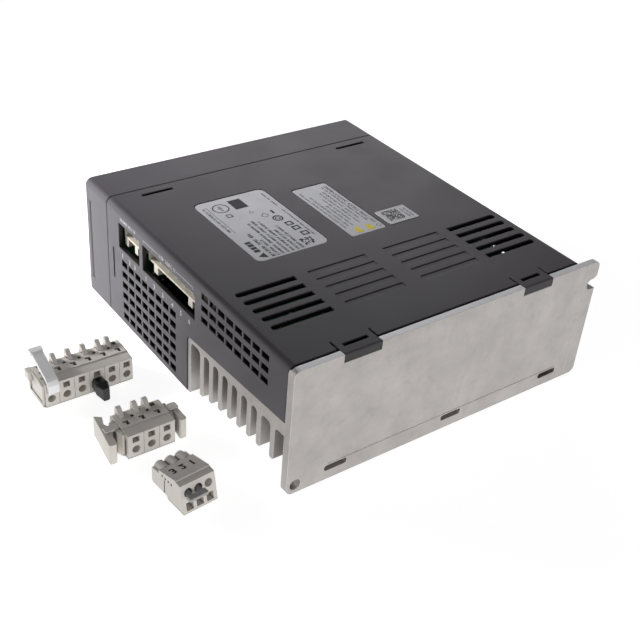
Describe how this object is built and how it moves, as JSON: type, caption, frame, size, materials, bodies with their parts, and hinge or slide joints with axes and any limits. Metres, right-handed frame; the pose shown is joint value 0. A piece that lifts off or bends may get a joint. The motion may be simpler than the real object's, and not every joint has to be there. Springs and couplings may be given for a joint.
{
  "type": "servo drive",
  "caption": "Book-format servo drive with finned heatsink, hinged keypad lid, cooling slots, recessed power and motor sockets and loose cage-clamp plugs.",
  "frame": {"origin": "centre of the mounting plate's outer face", "axes": "+X towards the drive's upper end, +Y out of the mounting plate's outer face, +Z out of the labelled side; the drive lies on its unlabelled side"},
  "size_m": [0.2385, 0.186, 0.0652],
  "materials": {
    "housing_plastic": "satin",
    "shell_plastic": "satin",
    "lid_plastic": "satin",
    "cast_aluminium": "bead blasted",
    "plug_plastic": "satin",
    "latch_plastic": "satin",
    "lever_nylon": "translucent satin",
    "jumper_plastic": "satin",
    "black_gloss": "gloss",
    "header_plastic": "satin",
    "tinned_metal": "tinned",
    "spring_steel": "satin",
    "label_film": "satin film",
    "key_rubber": "satin",
    "lid_pane": "polished",
    "display_pane": "polished",
    "black_plastic": "satin",
    "board_laminate": "solder mask",
    "lamp_lens": "polished",
    "thermal_silicone": "matt",
    "capacitor_sleeve": "gloss",
    "ferrite": "matt",
    "relay_plastic": "gloss",
    "plated_steel": "zinc plated"
  },
  "bodies": {
    "drive": {"heatsink": "cast_aluminium", "mounting_plate": "cast_aluminium", "main_housing": "housing_plastic", "front_shell": "shell_plastic", "lid_hinge_pins": "plated_steel", "display_window": "display_pane", "display_module": "black_plastic", "key_switches": "black_plastic", "panel_board": "board_laminate", "control_board": "board_laminate", "control_chips": "black_plastic", "io_socket": "black_plastic", "encoder_sockets": "black_plastic", "usb_socket": "black_plastic", "network_jacks": "black_plastic", "serial_jack": "black_plastic", "safety_socket": "black_plastic", "charge_lamp": "lamp_lens", "power_board": "board_laminate", "board_link": "black_plastic", "power_module": "black_plastic", "thermal_pad": "thermal_silicone", "rectifier_bridge": "black_plastic", "bus_capacitors": "capacitor_sleeve", "filter_choke": "ferrite", "inrush_relay": "relay_plastic", "board_studs": "plated_steel", "board_screws": "plated_steel", "regen_header": "header_plastic", "regen_pins": "tinned_metal", "power_header": "header_plastic", "power_pins": "tinned_metal", "motor_header": "header_plastic", "motor_pins": "tinned_metal", "fan_frame": "black_plastic", "fan_screws": "plated_steel", "earth_screws": "plated_steel", "rating_label": "label_film", "notice_label": "label_film", "code_label": "label_film"},
    "lid": {"front_lid": "lid_plastic", "lid_window": "lid_pane"},
    "mode_key": {"mode_key": "key_rubber"},
    "shift_key": {"shift_key": "key_rubber"},
    "up_key": {"up_key": "key_rubber"},
    "down_key": {"down_key": "key_rubber"},
    "set_key": {"set_key": "key_rubber"},
    "fan": {"fan_rotor": "black_plastic"},
    "power_plug": {"power_plug_body": "plug_plastic", "power_plug_clamps": "spring_steel", "blanking_plug": "black_gloss"},
    "power_lever": {"power_plug_lever": "lever_nylon"},
    "motor_plug": {"motor_plug_body": "plug_plastic", "motor_plug_clamps": "spring_steel", "latch_brackets": "plug_plastic"},
    "left_latch": {"motor_plug_left_latch": "latch_plastic"},
    "right_latch": {"motor_plug_right_latch": "latch_plastic"},
    "regen_plug": {"regen_plug_body": "plug_plastic", "regen_plug_clamps": "spring_steel", "jumper_bridge": "jumper_plastic"}
  },
  "joints": [
    {"name": "lid_hinge", "type": "hinge", "parent": "drive", "child": "lid", "pos_m": [0.0854, -0.1829, 0], "axis": [0, 0, 1], "range_deg": [0, 95]},
    {"name": "mode_key_press", "type": "slide", "parent": "drive", "child": "mode_key", "axis": [0, 1, 0], "range_m": [0, 0.0008], "stiffness_N_per_m": 400},
    {"name": "shift_key_press", "type": "slide", "parent": "drive", "child": "shift_key", "axis": [0, 1, 0], "range_m": [0, 0.0008], "stiffness_N_per_m": 400},
    {"name": "up_key_press", "type": "slide", "parent": "drive", "child": "up_key", "axis": [0, 1, 0], "range_m": [0, 0.0008], "stiffness_N_per_m": 400},
    {"name": "down_key_press", "type": "slide", "parent": "drive", "child": "down_key", "axis": [0, 1, 0], "range_m": [0, 0.0008], "stiffness_N_per_m": 400},
    {"name": "set_key_press", "type": "slide", "parent": "drive", "child": "set_key", "axis": [0, 1, 0], "range_m": [0, 0.0008], "stiffness_N_per_m": 400},
    {"name": "fan_spin", "type": "hinge", "parent": "drive", "child": "fan", "pos_m": [-0.068, -0.044, 0], "axis": [1, 0, 0], "continuous": true},
    {"name": "power_plug_lift", "type": "slide", "parent": "drive", "child": "power_plug", "axis": [0, 0, 1], "range_m": [0, 0.1]},
    {"name": "power_lever_press", "type": "hinge", "parent": "power_plug", "child": "power_lever", "pos_m": [0.1449, -0.1035, -0.019], "axis": [1, 0, 0], "range_deg": [0, 12], "stiffness_Nm_per_rad": 0.05},
    {"name": "motor_plug_lift", "type": "slide", "parent": "drive", "child": "motor_plug", "axis": [0, 0, 1], "range_m": [0, 0.1]},
    {"name": "left_latch_press", "type": "hinge", "parent": "motor_plug", "child": "left_latch", "pos_m": [0.1378, -0.063, -0.0262], "axis": [0, 0, 1], "range_deg": [0, 8], "stiffness_Nm_per_rad": 0.1},
    {"name": "right_latch_press", "type": "hinge", "parent": "motor_plug", "child": "right_latch", "pos_m": [0.1059, -0.063, -0.0262], "axis": [0, 0, -1], "range_deg": [0, 5], "stiffness_Nm_per_rad": 0.1},
    {"name": "regen_plug_lift", "type": "slide", "parent": "drive", "child": "regen_plug", "axis": [0, 0, 1], "range_m": [0, 0.1]}
  ]
}
